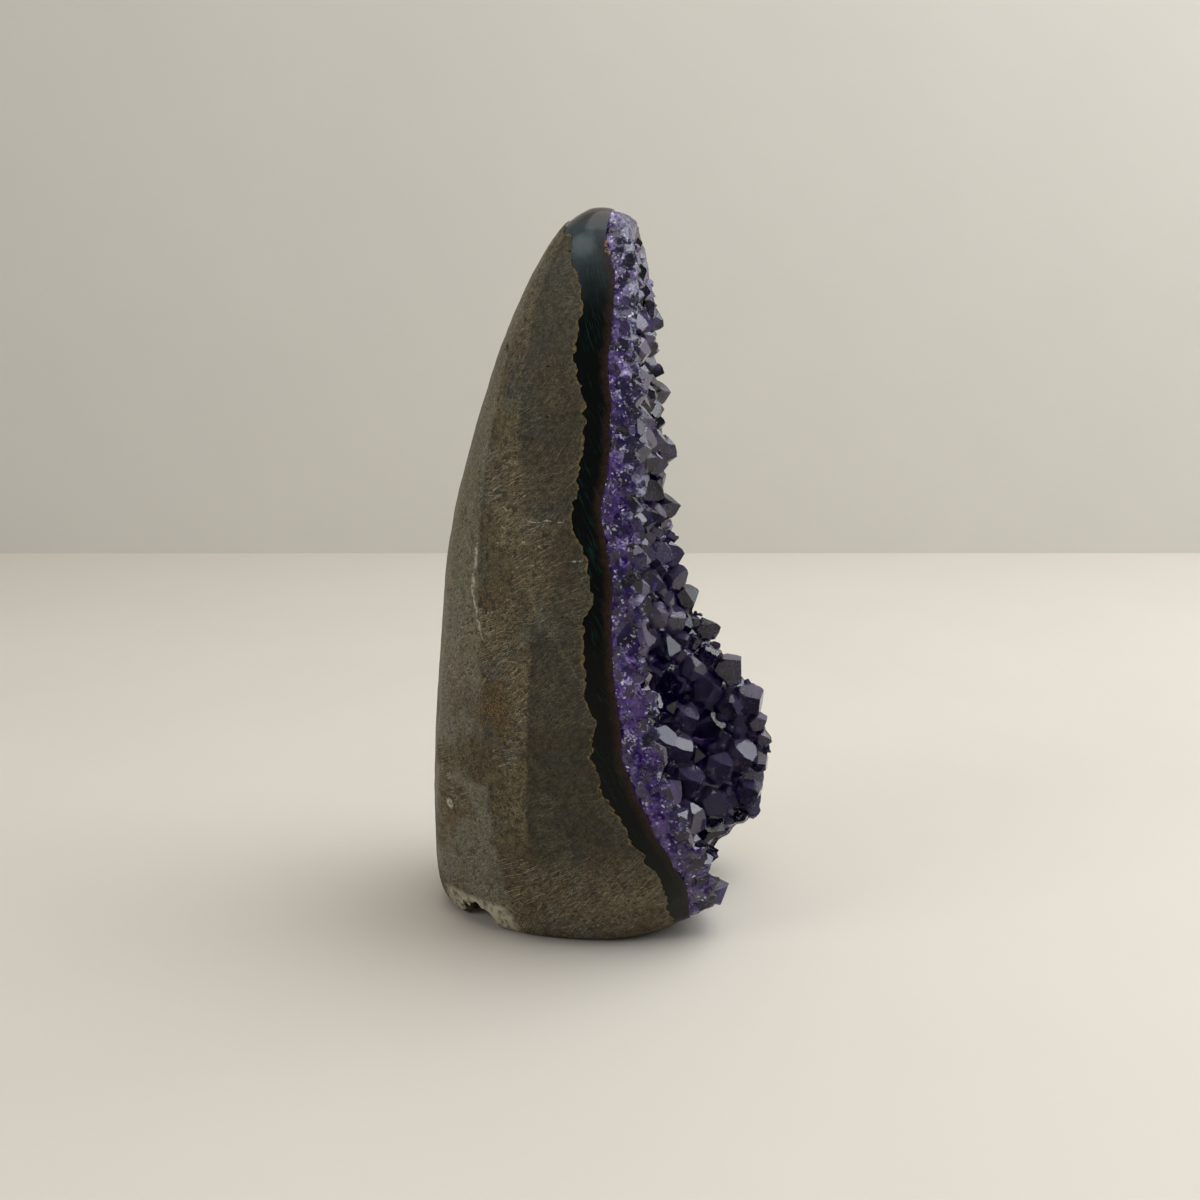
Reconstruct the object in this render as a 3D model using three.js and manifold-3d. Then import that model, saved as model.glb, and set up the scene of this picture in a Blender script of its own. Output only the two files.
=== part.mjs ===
// Amethyst point: a standing piece of geode wall, ground smooth at the back, sides and base.
// It is built as the real one grew, in three layers: basalt at the back, a rind of banded agate
// on it, and a crust of amethyst crystals that lines the open hollow in front.
// Millimetres, +Z up, the crystals face -Y.

import * as THREE from 'three';
import { mergeVertices } from 'three/addons/utils/BufferGeometryUtils.js';
import Module from 'manifold-3d';

const wasm = await Module();
wasm.setup();

// ---- Driving dimensions -------------------------------------------------------------------

// The ground outside, from the base to the tip: height, then the reach from the upright axis
// through the tip to the -X side, to the +X side, to the back and to the front.
const SECTIONS = [
	[0, 13.5, 22, 28, 14],
	[1.6, 15, 25, 29.3, 17],
	[6, 17, 28.5, 30, 22.5],
	[14, 18.6, 29.5, 30, 30],
	[26, 19.5, 29, 29.6, 36],
	[40, 19, 28, 28.5, 36],
	[56, 17.8, 24.5, 27, 30],
	[70, 16, 21, 24.6, 24],
	[88, 12.5, 15.5, 18.8, 20],
	[100, 9.3, 11, 13.8, 16],
	[108, 6, 7, 9.2, 11],
	[113, 3.2, 3.5, 4.8, 6],
	[115, 0, 0, 0, 0],
];
const FLATS = [24, 78, 118, 152, 184, 222, 262, 284, 350]; // bearings of the ground flats, in degrees
const FLAT_SHARPNESS = 9; // how tightly the flats meet: higher is a crisper edge

// The wall of the hollow, where the agate ends and the crystals begin, at even steps of
// height from the base up: Y at its middle, and how far its two edges stand forward of that.
const WALL_STEP = 10;
const WALL_MIDDLE = [-14.5, -8, -2.2, 0.3, 0.8, 0.3, -0.2, -0.7, -1.2, -1.7, -2, -2.3, -2.5];
const WALL_FORWARD_LEFT = [19, 19, 14, 10, 9, 8.3, 7.8, 6, 6, 6, 6, 6, 6]; // the -X edge
const WALL_FORWARD_RIGHT = [13, 18, 23, 20.5, 12, 8, 5.5, 3.5, 2.5, 2.5, 3, 3, 3]; // the +X edge
const WALL_LEFT = 20; // half widths at which the edges stand forward in full
const WALL_RIGHT = 26;

const AGATE_THICK = [3.4, 3.8, 4.2, 4.6, 4.8, 4.8, 4, 5.6, 4.6, 3.8, 4.6, 9.5, 16]; // at the same heights
const CRUST_THICK = 1.6; // to the shoulders of the crystals, under their points
const WANDER = 0.5; // how far the layers wander together
const RAGGED = 0.7; // how far the basalt's face wanders besides
const GAP = 0.3; // between layers

const CHIP = { place: [-11.8, 21.5, 0], size: [6, 4.5, 3.4] }; // broken out of the base's edge

// The crystals.
const CRYSTAL_TRIES = 8000;
const CRYSTAL_SPACING = 7.5; // at the base, and less toward the tip
const SMALLER_AT_TIP = 0.45;
const CRYSTAL_WIDTH = 1.22; // across flats, as a share of the room that a crystal has
const CRYSTAL_ROOT = 3.5;
const POINT_SLOPE = THREE.MathUtils.degToRad(51.8); // between a quartz point's face normals and its axis
const TILT = 0.24;
const SEED = 7;

// The mesh.
const ROUND_STEPS = 30;
const RINGS = 19;
const GRID = 6;
const REACH = 60; // half size of the blocks that cut the layers
const TALL = 122;

// ---- Small helpers ------------------------------------------------------------------------

// A repeatable stream of numbers from 0 to 1.
function seeded(seed) {
	let state = seed >>> 0;
	return () => {
		state = (Math.imul(state, 1664525) + 1013904223) >>> 0;
		return state / 2 ** 32;
	};
}

// A smooth line through evenly spaced values, at t counted in steps.
function smoothLine(values, t) {
	const last = values.length - 1;
	const i = Math.min(Math.max(Math.floor(t), 0), last - 1);
	const f = Math.min(Math.max(t - i, 0), 1);
	const [a, b, c, d] = [i - 1, i, i + 1, i + 2].map((k) => values[Math.min(Math.max(k, 0), last)]);
	return b + 0.5 * f * (c - a + f * (2 * a - 5 * b + 4 * c - d + f * (3 * (b - c) + d - a)));
}

function solidOf(geometry) {
	const bare = geometry.clone();
	bare.deleteAttribute('normal');
	bare.deleteAttribute('uv');
	const merged = mergeVertices(bare, 1e-4);
	return new wasm.Manifold(new wasm.Mesh({
		numProp: 3,
		vertProperties: merged.attributes.position.array,
		triVerts: new Uint32Array(merged.index.array),
	}));
}

function geometryOf(solid) {
	const { vertProperties, triVerts } = solid.getMesh();
	const geometry = new THREE.BufferGeometry();
	geometry.setAttribute('position', new THREE.BufferAttribute(vertProperties, 3));
	geometry.setIndex(new THREE.BufferAttribute(triVerts, 1));
	geometry.computeVertexNormals();
	return geometry;
}

// The main piece of a solid, without any crumbs that cutting left.
const mainPiece = (solid) => solid.decompose().reduce((a, b) => (a.volume() > b.volume() ? a : b));

// ---- The ground outside -------------------------------------------------------------------

// Distance from the axis to the ground surface. Each flat touches the section's ellipse.
function groundRadius(bearing, [left, right, back, front]) {
	let sum = 0;
	for (const degrees of FLATS) {
		const flat = THREE.MathUtils.degToRad(degrees);
		const side = Math.cos(flat) > 0 ? right : left;
		const depth = Math.sin(flat) > 0 ? back : front;
		const distance = Math.hypot(side * Math.cos(flat), depth * Math.sin(flat));
		const facing = Math.cos(bearing - flat);
		if (facing > 0) sum += (facing / distance) ** FLAT_SHARPNESS;
	}
	return sum ** (-1 / FLAT_SHARPNESS);
}

function groundOutside() {
	const columns = [0, 1, 2, 3, 4].map((k) => SECTIONS.map((section) => section[k]));
	const positions = [0, 0, 0];
	const index = [];
	for (let ring = 0; ring < RINGS; ring++) {
		const t = (ring / RINGS) * (SECTIONS.length - 1);
		const [z, ...reaches] = columns.map((column) => smoothLine(column, t));
		for (let step = 0; step < ROUND_STEPS; step++) {
			const bearing = (step / ROUND_STEPS) * 2 * Math.PI;
			const radius = groundRadius(bearing, reaches);
			positions.push(radius * Math.cos(bearing), radius * Math.sin(bearing), z);
		}
	}
	positions.push(0, 0, SECTIONS.at(-1)[0]);
	const tip = positions.length / 3 - 1;
	for (let step = 0; step < ROUND_STEPS; step++) {
		const next = (step + 1) % ROUND_STEPS;
		index.push(0, 1 + next, 1 + step);
		for (let ring = 0; ring < RINGS - 1; ring++) {
			const low = 1 + ring * ROUND_STEPS;
			const high = low + ROUND_STEPS;
			index.push(low + step, low + next, high + next, low + step, high + next, high + step);
		}
		index.push(tip - ROUND_STEPS + step, tip - ROUND_STEPS + next, tip);
	}
	const geometry = new THREE.BufferGeometry();
	geometry.setAttribute('position', new THREE.Float32BufferAttribute(positions, 3));
	geometry.setIndex(index);
	return solidOf(geometry);
}

// ---- The layers ---------------------------------------------------------------------------

// Y of the wall of the hollow.
function wall(x, z) {
	const forward = smoothLine(x > 0 ? WALL_FORWARD_RIGHT : WALL_FORWARD_LEFT, z / WALL_STEP);
	const toEdge = x / (x > 0 ? WALL_RIGHT : WALL_LEFT);
	const wander = WANDER * Math.sin(0.37 * z + 0.2 * x);
	return smoothLine(WALL_MIDDLE, z / WALL_STEP) - forward * toEdge ** 2 + wander;
}

function wallNormal(x, z) {
	const e = 0.5;
	const dx = (wall(x + e, z) - wall(x - e, z)) / (2 * e);
	const dz = (wall(x, z + e) - wall(x, z - e)) / (2 * e);
	return new THREE.Vector3(dx, -1, dz).normalize();
}

// Y of a surface that lies a given distance in front of the wall, or behind it if negative.
const inFrontOfWall = (distance) => (x, z) => wall(x, z) + distance / wallNormal(x, z).y;

const raggedness = (x, z) =>
	RAGGED * (Math.sin(0.52 * z + 0.3 * x) * Math.cos(0.21 * z - 0.4 * x) + 0.5 * Math.sin(1.3 * z + x));

// The block of all space in front of a surface, or behind it.
function block(surface, behind = false) {
	const across = Math.round((2 * REACH) / GRID);
	const up = Math.round((TALL + REACH / 4) / GRID);
	const side = behind ? REACH : -REACH;
	const plane = new THREE.PlaneGeometry(2 * REACH, up * GRID, across, up);
	plane.rotateX(Math.PI / 2).translate(0, 0, TALL - (up * GRID) / 2);
	const positions = [];
	const { array } = plane.attributes.position;
	for (const flat of [false, true]) {
		for (let i = 0; i < array.length; i += 3) {
			positions.push(array[i], flat ? side : surface(array[i], array[i + 2]), array[i + 2]);
		}
	}
	const count = array.length / 3;
	const index = [];
	const faces = plane.index.array;
	for (let i = 0; i < faces.length; i += 3) {
		const [a, b, c] = faces.slice(i, i + 3);
		index.push(a, c, b, a + count, b + count, c + count);
	}
	const edge = [];
	for (let i = 0; i < across; i++) edge.push(i);
	for (let i = 0; i < up; i++) edge.push(across + i * (across + 1));
	for (let i = across; i > 0; i--) edge.push(up * (across + 1) + i);
	for (let i = up; i > 0; i--) edge.push(i * (across + 1));
	edge.forEach((a, i) => {
		const b = edge[(i + 1) % edge.length];
		index.push(b, a, a + count, b, a + count, b + count);
	});
	if (behind) index.reverse(); // the other way round, so that the faces point out
	const geometry = new THREE.BufferGeometry();
	geometry.setAttribute('position', new THREE.Float32BufferAttribute(positions, 3));
	geometry.setIndex(index);
	return solidOf(geometry);
}

// ---- The crystals -------------------------------------------------------------------------

// Spots on the shoulder surface, none closer to another than their sizes allow.
function crystalSpots(random) {
	const shoulder = inFrontOfWall(CRUST_THICK);
	const widest = WALL_RIGHT + CRYSTAL_SPACING;
	const tall = SECTIONS.at(-1)[0];
	const spots = [];
	for (let i = 0; i < CRYSTAL_TRIES; i++) {
		const x = (2 * random() - 1) * widest;
		const z = random() * (tall + 4) - 2;
		const room = CRYSTAL_SPACING * (1 - SMALLER_AT_TIP * (z / tall)) * (0.74 + 0.42 * random() ** 1.5);
		const place = new THREE.Vector3(x, shoulder(x, z), z);
		if (spots.every((other) => other.place.distanceTo(place) > 0.5 * (other.room + room))) {
			spots.push({ place, room });
		}
	}
	return spots;
}

// One quartz crystal: a six-sided prism whose point has three large faces and three small.
function crystal({ place, room }, random) {
	const inradius = (room * CRYSTAL_WIDTH) / 2;
	const radius = inradius / Math.cos(Math.PI / 6);
	const shoulder = room * (0.05 + 0.25 * random());
	const lesser = 1.08 + 0.3 * random();
	const length = CRYSTAL_ROOT + shoulder + 3 * inradius;
	const prism = new THREE.CylinderGeometry(radius, radius, length, 6);
	prism.rotateX(Math.PI / 2).translate(0, 0, length / 2 - CRYSTAL_ROOT);
	prism.scale(1, 0.85 + 0.3 * random(), 1);
	let solid = solidOf(prism);
	for (let face = 0; face < 6; face++) {
		const bearing = (face * Math.PI) / 3;
		const normal = new THREE.Vector3(Math.cos(bearing), Math.sin(bearing), 0)
			.multiplyScalar(Math.sin(POINT_SLOPE)).setZ(Math.cos(POINT_SLOPE));
		const out = inradius * (face % 2 ? lesser : 1 + 0.16 * (random() - 0.5));
		const offset = out * Math.sin(POINT_SLOPE) + shoulder * Math.cos(POINT_SLOPE);
		solid = solid.trimByPlane(normal.negate().toArray(), -offset);
	}
	const axis = wallNormal(place.x, place.z);
	axis.x += TILT * (2 * random() - 1);
	axis.z += TILT * (2 * random() - 1);
	axis.normalize();
	const up = new THREE.Vector3(0, 0, 1);
	const turn = new THREE.Quaternion().setFromAxisAngle(up, random() * Math.PI);
	const stand = new THREE.Quaternion().setFromUnitVectors(up, axis).multiply(turn);
	const matrix = new THREE.Matrix4().compose(place, stand, new THREE.Vector3(1, 1, 1));
	return solid.transform(matrix.toArray());
}

function crystals() {
	const random = seeded(SEED);
	const spots = crystalSpots(random);
	return wasm.Manifold.union(spots.map((spot) => crystal(spot, random)));
}

// ---- The pieces ---------------------------------------------------------------------------

const outside = groundOutside();
const basaltFace = (x, z) => inFrontOfWall(-smoothLine(AGATE_THICK, z / WALL_STEP))(x, z) + raggedness(x, z);
const chip = new THREE.IcosahedronGeometry(1, 1).scale(...CHIP.size).rotateZ(0.7).translate(...CHIP.place);
const basalt = outside.subtract(block(basaltFace)).subtract(solidOf(chip));
const agate = outside
	.intersect(block((x, z) => basaltFace(x, z) - GAP))
	.subtract(block(wall));
const crust = block(inFrontOfWall(CRUST_THICK), true)
	.add(crystals())
	.intersect(block(inFrontOfWall(GAP)))
	.intersect(outside);

const MATERIALS = {
	basalt: new THREE.MeshStandardMaterial({ color: 0x57524a, roughness: 0.75, metalness: 0 }),
	agate: new THREE.MeshStandardMaterial({ color: 0x1c2622, roughness: 0.25, metalness: 0 }),
	amethyst: new THREE.MeshStandardMaterial({ color: 0x4a2f7d, roughness: 0.12, metalness: 0 }),
};

const stone = new THREE.Group();
for (const [name, solid, material] of [
	['basalt_matrix', basalt, MATERIALS.basalt],
	['agate_rind', agate, MATERIALS.agate],
	['amethyst_crust', crust, MATERIALS.amethyst],
]) {
	const mesh = new THREE.Mesh(geometryOf(mainPiece(solid)), material);
	mesh.name = name;
	stone.add(mesh);
}

// The origin is at the middle of the base.
const box = new THREE.Box3().setFromObject(stone);
const middle = box.getCenter(new THREE.Vector3());
stone.position.set(-middle.x, -middle.y, -box.min.z);

export default stone;
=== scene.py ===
"""Looks of the amethyst point: a standing piece of geode wall with a crystal-lined hollow.

The CAD nodes give the main places and sizes. The ground outside is the smoothed hull of
the nodes and of the rims' feet. The two faces between the layers are read off the nodes as
height fields over X and Z, and the crystals are grown anew on the agate's wall, finer than
the CAD ones.
Shapes are made in millimetres and scaled to metres at the end.
"""

import itertools
import math
import random

import bmesh
import bpy
import numpy as np
from mathutils import Matrix, Quaternion, Vector, geometry, noise
from mathutils.bvhtree import BVHTree


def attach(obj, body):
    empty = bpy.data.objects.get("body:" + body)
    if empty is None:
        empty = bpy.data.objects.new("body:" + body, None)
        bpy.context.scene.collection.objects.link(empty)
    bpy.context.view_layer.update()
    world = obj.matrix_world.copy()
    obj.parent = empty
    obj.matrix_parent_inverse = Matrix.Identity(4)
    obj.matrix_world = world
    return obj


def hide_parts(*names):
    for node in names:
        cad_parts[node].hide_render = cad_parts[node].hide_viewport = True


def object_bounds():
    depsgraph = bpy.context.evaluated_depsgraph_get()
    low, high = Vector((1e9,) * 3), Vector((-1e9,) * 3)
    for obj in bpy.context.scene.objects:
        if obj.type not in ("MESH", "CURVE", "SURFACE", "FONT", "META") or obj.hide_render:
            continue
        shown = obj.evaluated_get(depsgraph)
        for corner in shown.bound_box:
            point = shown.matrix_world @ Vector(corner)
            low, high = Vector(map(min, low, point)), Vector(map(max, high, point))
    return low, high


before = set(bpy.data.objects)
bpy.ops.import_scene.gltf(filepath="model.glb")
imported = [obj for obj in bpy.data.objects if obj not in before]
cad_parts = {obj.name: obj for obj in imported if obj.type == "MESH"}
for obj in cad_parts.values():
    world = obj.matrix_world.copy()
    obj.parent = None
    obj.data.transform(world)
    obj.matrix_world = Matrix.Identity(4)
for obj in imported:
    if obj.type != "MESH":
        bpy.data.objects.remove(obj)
CAD_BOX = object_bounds()

MM = 0.001
SEED = 12
SKIN_VOXEL = 0.9  # of the ground surface's mesh, before it is subdivided once
SKIN_SMOOTHING = 6  # rounds
UNION_BATCH = 15
FIELD_STEP = 0.5  # spacing of the height fields' samples
FIELD_MARGIN = 4.0  # how far the fields run past the object
WALL_COARSE = 3  # the smooth wall needs only every third sample
NEIGHBOUR_GAP = 0.6  # a face that is nearer than this to the next layer lies against it
CARRY_ON = 0.7  # how much of its slope a field keeps at each step past its edge
RAY_ROOM, FRONT_ROOM = 10, 20  # how far before the front rays start and blocks end
AGATE_LOWER = 0.12  # how far the polished agate lies below the basalt's ground surface
OVERLAP = 0.1  # how far the crystals' backs reach into the agate
SKIN_RADIUS = 18.0  # the bearing round the upright axis times this is the way round

# How far the layers' edges stand forward (-) or back of the CAD faces, at even steps of
# height from the base up. A scratch script worked these out, from edges read off the photograph
# by eye, and they were rounded by hand.
EDGE_STEP = 5
ROCK_EDGE = (
    -0.7, -0.8, -1.3, -1.6, -1.3, -1.9, -0.5, -0.5, -0.8, -1.7, -1, 0.9,
    -0.5, -0.8, -0.5, -0.8, -0.6, 0.1, 1.2, 1, -0.7, -1, -1.5, -1.5,
)
WALL_EDGE = (
    -0.4, -0.4, -0.4, 0.8, 0.9, 0.3, 0, 0.1, 0.4, 0.3, 0.2, 0.9,
    0.2, 0.6, 1.1, 0, -0.8, -0.3, 0.1, -0.3, -0.8, -0.6, 0.5, 0.5,
)

# Crystals: how many tries, and the least and most room that each takes.
CRYSTAL_SIZES = ((1800, 4.0, 5.6), (4000, 2.8, 3.6), (6000, 1.7, 2.3))
SMALLER_AT_TIP = 0.35
LAYER = 3.6  # thickness of the layer that the crystals stand on
CRYSTAL_ROOT = 2.9  # how deep they reach into it
CRYSTAL_REACH = 9.0  # no crystal goes further than this from its spot
CRYSTAL_WIDTH = 0.61  # half the width across flats, as a share of the room
SHOULDER = (0.05, 0.3)  # from the layer up to where the point begins, in shares of the room
SIDES_OUT = (0.86, 1.1)  # how far out the sides stand, in half widths
FACES_OUT = (0.88, 1.08)  # the same for the point's three larger faces
LESSER_OUT = (1.1, 1.4)  # and for its three smaller ones
POINT_SLOPE = math.radians(51.8)  # between a quartz point's face normals and its axis
TILT = 0.2  # the most that a crystal leans off the wall's normal
CAPPED = 0.5  # the share of crystals whose tips are broken off flat
CAP_TILT = 0.5
CAP_HEIGHT = (0.45, 0.8)  # of the break, as a share of the point's height
TIP_UNDER = 0.2  # how far tips in front stay under the ground outside
SEAM = 2  # the seams between crystals fade out within this
FACET = 1.5  # size of the breaks on the ground side
FACET_DEPTH = 0.3  # how far the ground side lies below the ground outside, on the whole

# The rims' feet stand a little further forward than the CAD nodes, with a broken notch
# between them.
RIM_FEET = ((14.5, -27.8, 12.5), (-12.5, -24.2, 9.5), (-12.8, -23.4, 6))
NOTCH_PLACE = (6, -25, 4.5)
NOTCH_SIZE = (13, 8.5, 7.5)

# Places on the basalt: the turn from the back in degrees, the height in mm.
STEP_TURN = 69  # where the ground surface steps down on the -X side
STEP_DEPTH = 0.3
STEP_LOW, STEP_HIGH = (16, 30), (46, 52)  # the heights where the step fades in and out
CHIP_TURN = 30  # a chip out of the base's edge
CHIP_OUT = 0.97  # its middle, as a share of the way out to the surface
CHIP_SIZE = (6.6, 4.6, 4.2)
PITS = ((22.5, 93.3, 0.55), (24, 68, 0.6), (72.9, 66, 0.35), (40.8, 54.4, 0.5), (60, 80, 0.3))
SMALL_PITS = 60
SMALL_PIT_PLACES = ((-100, 130), (4, 100))
SMALL_PIT_SIZE = (0.12, 0.3)
INCLUSION = (26.6, 20.7)
RUST_PATCH = (52, 38.6)
RUST_SPOTS = ((15.7, 26.2, 0.8), (16.1, 22.4, 0.7), (26, 18.9, 0.9), (78, 104, 0.8))
PINK_PATCH = (113, 108.3)  # on the agate, beside the crystals
VEINS = (
    ((42.7, 70.6), (63.2, 67.9), 0.14), ((63.2, 67.9), (82.8, 67.9), 0.14),
    ((42, 64), (57, 65), 0.1), ((57, 65), (71.8, 64.1), 0.1),
    ((36, 63.4), (35.2, 56.4), 0.4), ((35.2, 56.4), (43.9, 49), 0.3),
    ((51, 57), (66, 64), 0.09), ((81.6, 62.1), (92.9, 62.3), 0.14),
)

# Lines where the basalt's ground faces meet, as turn and height, from the lower end up.
STRIP = ((51, 20), (22, 107))
UPPER_FACE = ((62, 68), (46.5, 86))
TIP_FACE = ((46.5, 86), (40.7, 99.8))
RIDGE = ((95, 43), (58.4, 61.2))

CAP_HIGHLIGHT = (-9.5, 0.5, 108.8)  # the painted highlight on the agate cap, as X, Y and Z

# Colours, linear.
BASALT = (0.1, 0.081, 0.04)
BASALT_BROWN = (0.09, 0.064, 0.031)
BASALT_DARK = (0.017, 0.014, 0.007)
BASALT_BLUE = (0.07, 0.068, 0.054)
BASALT_GREY = (0.16, 0.145, 0.095)
BASALT_SCRATCH = (0.34, 0.29, 0.19)
BASALT_BLACK = (0.006, 0.005, 0.004)
RUST = (0.2, 0.12, 0.03)
MARGIN_AND_HIGHLIGHT = (0.17, 0.125, 0.04)
BROKEN = (0.44, 0.4, 0.29)
PALE = (0.5, 0.46, 0.38)
AGATE = (0.002, 0.0024, 0.002)
AGATE_GREEN = (0.01, 0.055, 0.042)
# the blue-grey smoke at the tip, and the painted highlight on it
AGATE_SMOKE_AND_HIGHLIGHT = (0.1, 0.125, 0.13)
AGATE_TOP = (0.05, 0.04, 0.034)
AGATE_LOW = (0.012, 0.014, 0.008)
BAND = (0.055, 0.028, 0.011)
BAND_DARK = (0.014, 0.007, 0.004)
PINK = (0.5, 0.26, 0.18)
ROOTS = (0.03, 0.014, 0.065)
LILAC = (0.064, 0.026, 0.16)
VIOLET = (0.017, 0.0015, 0.085)
GLASSY = (0.05, 0.046, 0.095)
GAP = (0.004, 0.002, 0.01)
LAVENDER = (0.17, 0.115, 0.31)
ICE = (0.8, 0.74, 0.95)
CRYSTAL = (0.62, 0.48, 0.95)
ABSORBED = (0.45, 0.1, 0.75)
ABSORPTION = 480  # a metre
FLOOR = (0.575, 0.53, 0.465)
BACKDROP = (0.62, 0.585, 0.52)
WORLD = (0.9, 0.95, 1)
WORLD_STRENGTH = 0.25

# The camera and the stage, in metres, as they stand to the upright axis through the tip.
CAMERA_BEARING = math.radians(12)  # of its aim, from +X
CAMERA_DISTANCE = 0.222
CAMERA_HEIGHT = 0.099
CAMERA_PITCH = math.radians(11.7)
CAMERA_LENS, CAMERA_SENSOR = 42, 36  # in mm
CAMERA_CLIP = 0.01
BACKDROP_DISTANCE = 0.352
STAGE_WIDTH = 3.0
AIM = 0.05  # the height that the lights aim at


# ---- Meshes ----


def node_mesh_mm(name):
    """A CAD node's mesh as a bmesh in millimetres, with its split vertices merged."""
    bm = bmesh.new()
    bm.from_mesh(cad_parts[name].data)
    bmesh.ops.remove_doubles(bm, verts=bm.verts, dist=1e-7)
    bmesh.ops.scale(bm, vec=(1 / MM,) * 3, verts=bm.verts)
    return bm


def hull_of(bm):
    """Wraps the points of a bmesh in their convex hull, and drops the points inside it."""
    bmesh.ops.convex_hull(bm, input=bm.verts)
    loose = [v for v in bm.verts if not v.link_faces]
    bmesh.ops.delete(bm, geom=loose, context="VERTS")


def placed(name, data):
    obj = bpy.data.objects.new(name, data)
    bpy.context.scene.collection.objects.link(obj)
    return obj


def new_object(name, bm, material):
    mesh = bpy.data.meshes.new(name)
    bm.to_mesh(mesh)
    bm.free()
    mesh.materials.append(material)
    return placed(name, mesh)


def apply_modifiers(obj):
    depsgraph = bpy.context.evaluated_depsgraph_get()
    mesh = bpy.data.meshes.new_from_object(obj.evaluated_get(depsgraph))
    obj.modifiers.clear()
    old = obj.data
    obj.data = mesh
    bpy.data.meshes.remove(old)


def boolean(obj, operation, other):
    """obj joined with, cut by or cut down to another, or a collection of others, which
    stay as they are."""
    modifier = obj.modifiers.new("boolean", "BOOLEAN")
    modifier.operation = operation
    modifier.solver = "MANIFOLD"
    modifier.material_mode = "TRANSFER"
    if isinstance(other, bpy.types.Collection):
        modifier.operand_type = "COLLECTION"
        modifier.collection = other
    else:
        modifier.object = other
    apply_modifiers(obj)


def unite(obj, others):
    """Joins others into obj and removes them, a few at a time, because hundreds together
    take very long."""
    for start in range(0, len(others), UNION_BATCH):
        batch = bpy.data.collections.new("batch")
        for other in others[start:start + UNION_BATCH]:
            batch.objects.link(other)
        boolean(obj, "UNION", batch)
        bpy.data.collections.remove(batch)
    remove(*others)


def copy_of(obj, name):
    return placed(name, obj.data.copy())


def remove(*objects):
    for obj in objects:
        mesh = obj.data
        bpy.data.objects.remove(obj)
        bpy.data.meshes.remove(mesh)


def as_array(vectors, key):
    values = np.empty(3 * len(vectors), np.float32)
    vectors.foreach_get(key, values)
    return values.reshape(-1, 3).astype(float)


def points_of(obj):
    return as_array(obj.data.vertices, "co")


def normals_of(obj):
    return as_array(obj.data.vertex_normals, "vector")


def move_points(obj, points):
    obj.data.vertices.foreach_set("co", points.astype(np.float32).ravel())
    obj.data.update()


def keep(obj, domain="POINT", **kept):
    """Keeps numbers or vectors for each vertex or face, for the materials."""
    for name, values in kept.items():
        values = np.asarray(values, np.float32)
        kind, key = ("FLOAT", "value") if values.ndim == 1 else ("FLOAT_VECTOR", "vector")
        obj.data.attributes.new(name, kind, domain).data.foreach_set(key, values.ravel())


def smooth_step(low, high, values):
    t = np.clip((values - low) / (high - low), 0, 1)
    return t * t * (3 - 2 * t)


# ---- The ground outside ----


def ground_outside(material):
    """The smooth ground surface all round, without the hollow."""
    bm = bmesh.new()
    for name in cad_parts:
        part = node_mesh_mm(name)
        for vert in part.verts:
            bm.verts.new(vert.co)
        part.free()
    for foot in RIM_FEET:
        bm.verts.new(foot)
    hull_of(bm)
    obj = new_object("outside", bm, material)
    remesh = obj.modifiers.new("remesh", "REMESH")
    remesh.mode = "VOXEL"
    remesh.voxel_size = SKIN_VOXEL
    smooth = obj.modifiers.new("smooth", "SMOOTH")
    smooth.iterations = SKIN_SMOOTHING
    subdivide = obj.modifiers.new("subdivide", "SUBSURF")
    subdivide.levels = 1
    apply_modifiers(obj)
    return obj


# ---- The faces between the layers ----


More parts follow.
